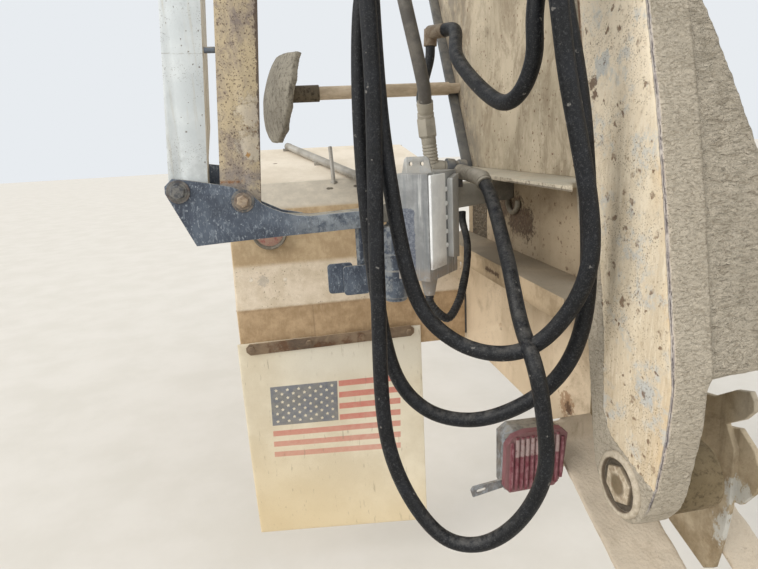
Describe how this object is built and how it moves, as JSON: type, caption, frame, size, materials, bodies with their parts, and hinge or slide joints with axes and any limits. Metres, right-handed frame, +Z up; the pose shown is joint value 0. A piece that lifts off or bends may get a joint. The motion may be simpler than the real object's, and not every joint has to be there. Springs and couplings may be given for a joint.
{
  "type": "left rear corner assembly of a concrete mixer truck",
  "caption": "Rear corner of a mixer truck: fender with mud flap, pedestal leg, bracket arm with posts, looped washdown hose and a hinged axle arm.",
  "frame": {"origin": "centre of the four-hole pattern on the inboard face of the frame plate, where the assembly bolts to the chassis rail", "axes": "+X from the wheel side to the centreline of the truck, +Y forward along the truck, +Z up"},
  "size_m": [1.157, 3.952, 2.132],
  "materials": {
    "dusty_tan_paint": "worn tan paint under dust",
    "mortar_crusted_steel": "beige paint crusted with mortar",
    "blue_grey_steel": "scratched blue-grey paint",
    "bare_rusty_steel": "rusty",
    "white_paint": "chalky white paint",
    "flaked_paint_rust": "flaked cream paint over rust",
    "pipe_metal": "dull",
    "box_aluminium": "cast, dull silver",
    "black_rubber": "dusty black rubber",
    "flap_rubber": "cream sheet, dusty",
    "red_lens": "ribbed red lens, dusty",
    "lamp_grey": "grey housing"
  },
  "bodies": {
    "corner": {"frame_plate": "dusty_tan_paint", "base_web": "dusty_tan_paint", "shelf_plate": "dusty_tan_paint", "ledge_plate": "dusty_tan_paint", "end_plate": "dusty_tan_paint", "lifting_hoop": "bare_rusty_steel", "pedestal_plate": "dusty_tan_paint", "pedestal_fold": "blue_grey_steel", "pedestal_cap": "dusty_tan_paint", "pivot_bracket": "bare_rusty_steel", "tail_bars": "dusty_tan_paint", "guard_bracket": "dusty_tan_paint", "bracket_arm": "blue_grey_steel", "bracket_front_plate": "blue_grey_steel", "bracket_tube": "blue_grey_steel", "post_channel": "white_paint", "post_bar": "flaked_paint_rust", "post_bolts": "bare_rusty_steel", "post_tie": "blue_grey_steel", "paddle_rod": "mortar_crusted_steel", "paddle": "mortar_crusted_steel", "fender_shell": "dusty_tan_paint", "fender_lip": "dusty_tan_paint", "fender_hanger": "bare_rusty_steel", "fender_struts": "bare_rusty_steel", "fender_pipe": "pipe_metal", "marker_lamp": "red_lens", "flap": "flap_rubber", "flap_bar": "bare_rusty_steel", "hook_plates": "blue_grey_steel", "junction_box": "box_aluminium", "box_cover": "box_aluminium", "box_bracket": "bare_rusty_steel", "water_tee": "pipe_metal", "water_elbow": "pipe_metal", "hose_saddle": "blue_grey_steel", "hose_coil": "black_rubber", "supply_hose": "black_rubber", "riser_hose": "black_rubber", "box_conduit": "black_rubber", "tail_lamp": "lamp_grey", "tail_lamp_lens": "red_lens", "arm_stop": "black_rubber"},
    "axle_arm": {"arm_side_plates": "mortar_crusted_steel", "arm_rear_plate": "mortar_crusted_steel", "arm_front_plate": "mortar_crusted_steel", "arm_gusset": "mortar_crusted_steel", "arm_boss_ring": "mortar_crusted_steel", "arm_pin": "bare_rusty_steel", "arm_seat": "mortar_crusted_steel"}
  },
  "joints": [
    {"name": "axle_arm_pivot", "type": "hinge", "parent": "corner", "child": "axle_arm", "pos_m": [0.029, -0.61, -0.135], "axis": [1, 0, 0], "range_deg": [0, 90]}
  ]
}
